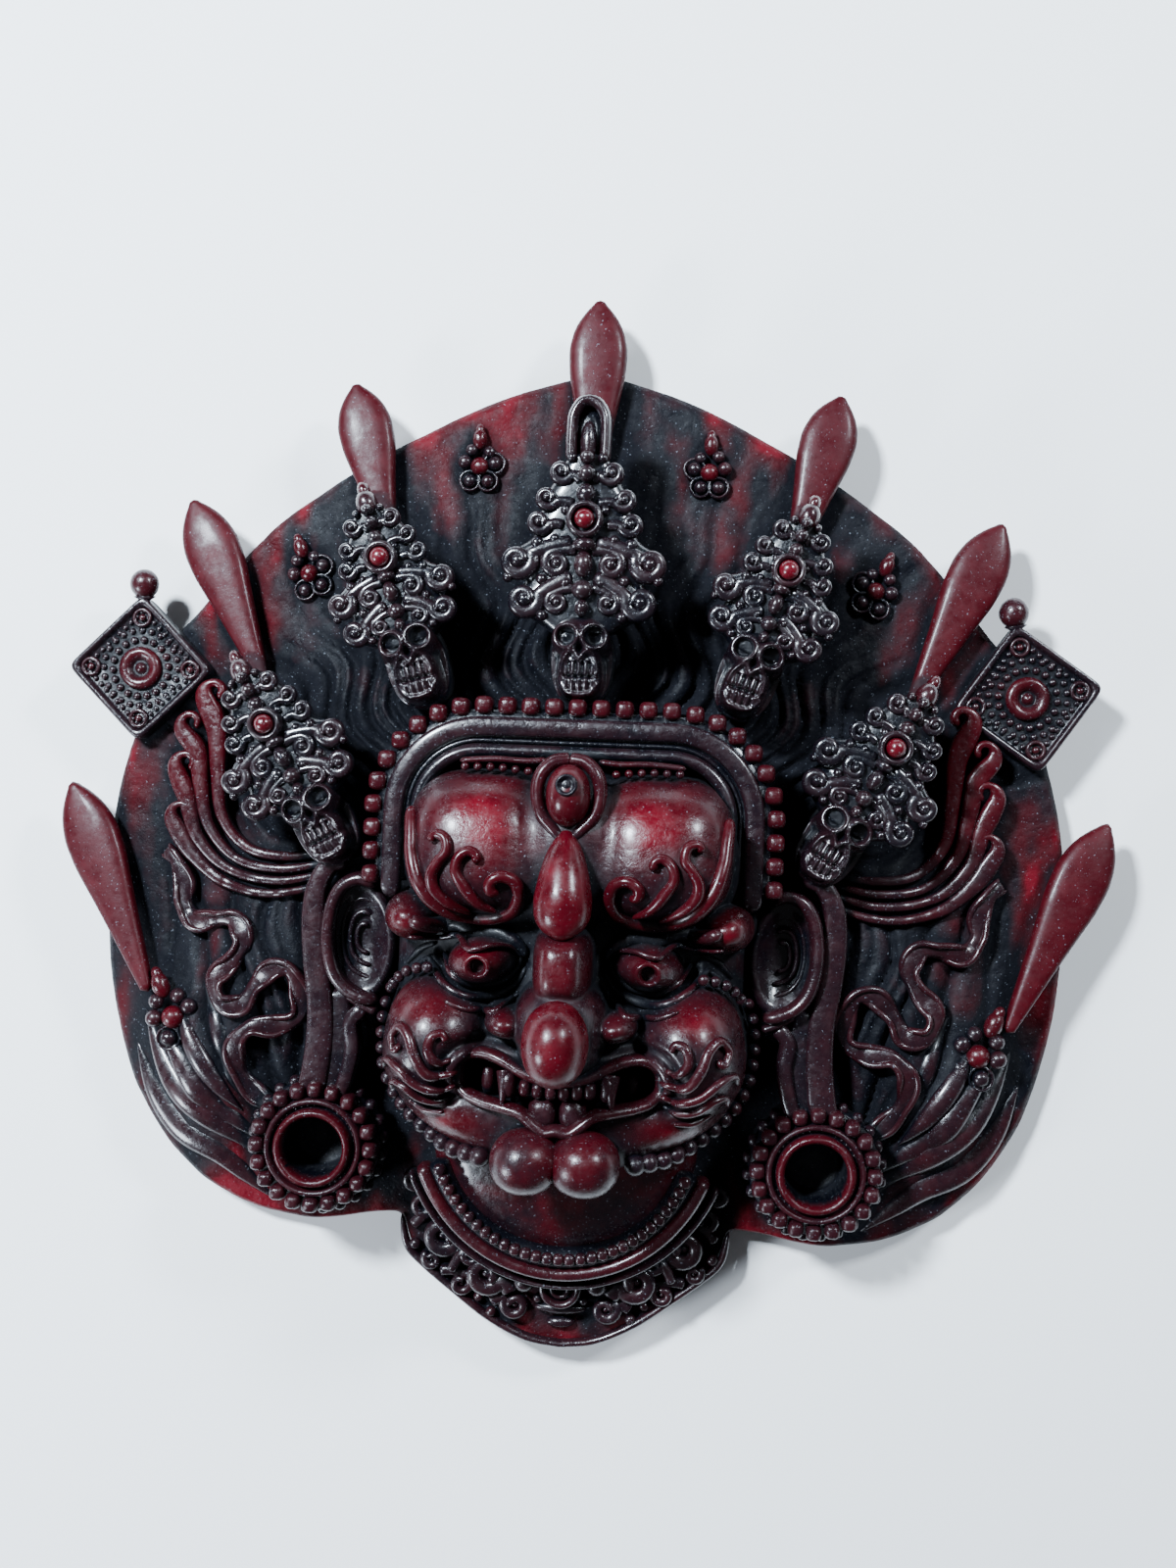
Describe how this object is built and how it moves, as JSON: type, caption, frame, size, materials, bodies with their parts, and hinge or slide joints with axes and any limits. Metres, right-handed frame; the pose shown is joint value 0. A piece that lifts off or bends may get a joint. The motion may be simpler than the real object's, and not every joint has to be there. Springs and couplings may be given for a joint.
{
  "type": "wrathful guardian mask",
  "caption": "Cast resin relief mask of a wrathful guardian deity with skull crown, flaming hair plate and hollow back, for wall or shelf display.",
  "frame": {"origin": "on the flat back, under the middle of the mask's outline", "axes": "+Z out of the face, +Y towards the top of the hair, +X to the viewer's right"},
  "size_m": [0.2472, 0.246, 0.0715],
  "materials": {
    "resin": "oxblood filled resin under black patina, waxed to a semi-gloss, worn red on the high points"
  },
  "bodies": {
    "root": {"mask": "resin"}
  },
  "joints": []
}
